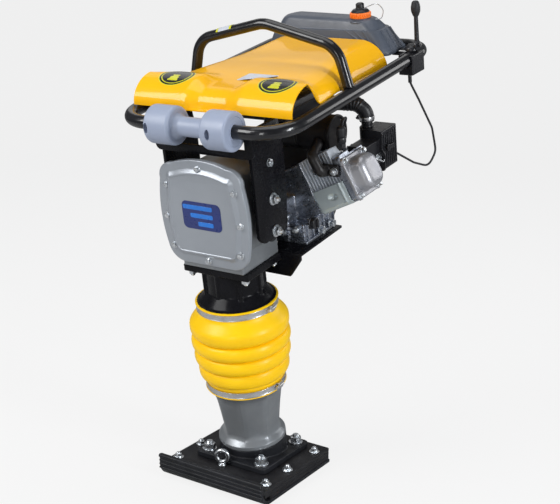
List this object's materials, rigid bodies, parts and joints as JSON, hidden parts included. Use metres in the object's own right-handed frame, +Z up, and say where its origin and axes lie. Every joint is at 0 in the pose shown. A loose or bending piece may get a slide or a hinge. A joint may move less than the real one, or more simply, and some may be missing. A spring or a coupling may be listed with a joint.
{
  "type": "jumping jack rammer",
  "caption": "Tamping rammer with flat shoe, leaning sprung leg with bellows, gear housing, small engine, hood, fuel tank, handle loop and transport roller.",
  "frame": {"origin": "on the ground under the shoe, on the machine's middle plane, 9 mm ahead of where the leg axis meets the ground", "axes": "+Z up, front of the machine towards -Y, handle loop runs back towards +Y, engine cylinder and throttle lever on the +X side"},
  "size_m": [0.5002, 0.7023, 1.0787],
  "materials": {
    "shoe_steel": "satin black",
    "shoe_wood": "matt black",
    "zinc": "zinc plated",
    "band": "brushed stainless",
    "cast_grey": "fine cast",
    "cover_grey": "fine cast",
    "bright_cast": "die cast",
    "shroud_zinc": "passivated",
    "internal_steel": "machined",
    "spring_steel": "oiled",
    "yellow_rubber": "satin",
    "black_rubber": "matt",
    "black_paint": "gloss black",
    "hood_yellow": "semi-gloss yellow",
    "roller_plastic": "satin pale grey",
    "tank_plastic": "slate grey",
    "cap_orange": "orange with black knob",
    "exhaust_black": "heat-resistant black",
    "black_plastic": "moulded black"
  },
  "bodies": {
    "foot": {"steel_shoe": "shoe_steel", "shoe_block": "shoe_wood", "shoe_bolts": "zinc", "foot_casting": "shoe_steel", "foot_nuts": "zinc", "lifting_eye_bolt": "zinc", "leg_sleeve": "cast_grey", "spring_cylinder": "internal_steel", "spring_cylinder_cap": "internal_steel", "lower_clamp": "band", "bellows": "yellow_rubber", "lower_spring": "spring_steel", "upper_spring": "spring_steel"},
    "housing": {"guide_cylinder": "black_paint", "upper_clamp": "band", "crankcase": "cast_grey", "crankcase_cover": "cover_grey", "cover_screws": "zinc", "shaft_bearings": "internal_steel", "rubber_mounts": "black_rubber", "mount_bolts": "zinc", "frame_plates": "black_paint", "handle_loop": "black_paint", "carry_arch": "black_paint", "hood": "hood_yellow", "fuel_tank": "tank_plastic", "clutch_housing": "bright_cast", "engine_block": "bright_cast", "engine_cylinder": "bright_cast", "cylinder_head": "bright_cast", "valve_cover": "bright_cast", "valve_cover_bolts": "zinc", "exhaust_pipe": "exhaust_black", "muffler": "exhaust_black", "air_shroud": "shroud_zinc", "fan_shroud": "black_plastic", "recoil_cover": "black_plastic", "carburettor": "black_plastic", "intake_hose": "black_rubber", "air_filter": "black_plastic", "spark_plug": "black_plastic", "engine_bracket": "black_paint", "throttle_mount": "black_paint", "throttle_cable": "black_plastic"},
    "ram_piston": {"crosshead": "internal_steel", "piston_rod": "internal_steel"},
    "rod": {"connecting_rod": "internal_steel", "wrist_pin": "internal_steel"},
    "crank": {"crank_gear": "internal_steel"},
    "pinion": {"pinion_shaft": "internal_steel"},
    "crankshaft": {"engine_crankshaft": "internal_steel", "flywheel": "internal_steel", "clutch_shoes": "internal_steel"},
    "roller": {"transport_roller": "roller_plastic"},
    "cap": {"fuel_cap": "cap_orange"},
    "throttle": {"throttle_lever": "black_plastic"},
    "choke": {"choke_lever": "black_plastic"},
    "switch": {"stop_switch": "black_plastic"},
    "tap": {"fuel_tap": "black_plastic"},
    "starter": {"starter_grip": "black_plastic"}
  },
  "joints": [
    {"name": "ram_stroke", "type": "slide", "parent": "foot", "child": "housing", "axis": [0, -0.1834, 0.983], "range_m": [-0.01, 0.06], "deforming": ["bellows", "lower_spring", "upper_spring"]},
    {"name": "piston_stroke", "type": "slide", "parent": "housing", "child": "ram_piston", "axis": [0, -0.1834, 0.983], "range_m": [-0.056, 0], "deforming": ["lower_spring", "upper_spring"]},
    {"name": "crank_turn", "type": "hinge", "parent": "housing", "child": "crank", "pos_m": [0, -0.08885, 0.66832], "axis": [0, 0.983, 0.1834], "continuous": true},
    {"name": "rod_swing", "type": "hinge", "parent": "crank", "child": "rod", "pos_m": [0, -0.11955, 0.69107], "axis": [0, 0.983, 0.1834], "continuous": true},
    {"name": "pinion_turn", "type": "hinge", "parent": "housing", "child": "pinion", "pos_m": [0, -0.07234, 0.57984], "axis": [0, 0.983, 0.1834], "continuous": true},
    {"name": "engine_turn", "type": "hinge", "parent": "housing", "child": "crankshaft", "pos_m": [0, 0.07905, 0.60809], "axis": [0, 0.983, 0.1834], "continuous": true},
    {"name": "roller_turn", "type": "hinge", "parent": "housing", "child": "roller", "pos_m": [0, -0.22171, 0.82968], "axis": [1, 0, 0], "continuous": true},
    {"name": "cap_turn", "type": "hinge", "parent": "housing", "child": "cap", "pos_m": [0.08, 0.31028, 1.04797], "axis": [0, -0.1834, 0.983], "range_deg": [0, 90]},
    {"name": "throttle_swing", "type": "hinge", "parent": "housing", "child": "throttle", "pos_m": [0.218, 0.33467, 0.97725], "axis": [1, 0, 0], "range_deg": [-35, 30]},
    {"name": "choke_swing", "type": "hinge", "parent": "housing", "child": "choke", "pos_m": [0.216, 0.2094, 0.75449], "axis": [1, 0, 0], "range_deg": [-10, 50]},
    {"name": "switch_press", "type": "slide", "parent": "housing", "child": "switch", "axis": [0, 0.983, 0.1834], "range_m": [-0.003, 0]},
    {"name": "tap_turn", "type": "hinge", "parent": "housing", "child": "tap", "pos_m": [0.12, 0.31148, 0.94342], "axis": [0, -0.1834, 0.983], "range_deg": [0, 90]},
    {"name": "starter_pull", "type": "slide", "parent": "housing", "child": "starter", "axis": [-1, 0, 0], "range_m": [0, 0.5]}
  ],
  "couplings": [
    {"joint": "rod_swing", "follows": "crank_turn", "ratio": -1},
    {"joint": "pinion_turn", "follows": "crank_turn", "ratio": -4},
    {"joint": "engine_turn", "follows": "crank_turn", "ratio": -4}
  ]
}
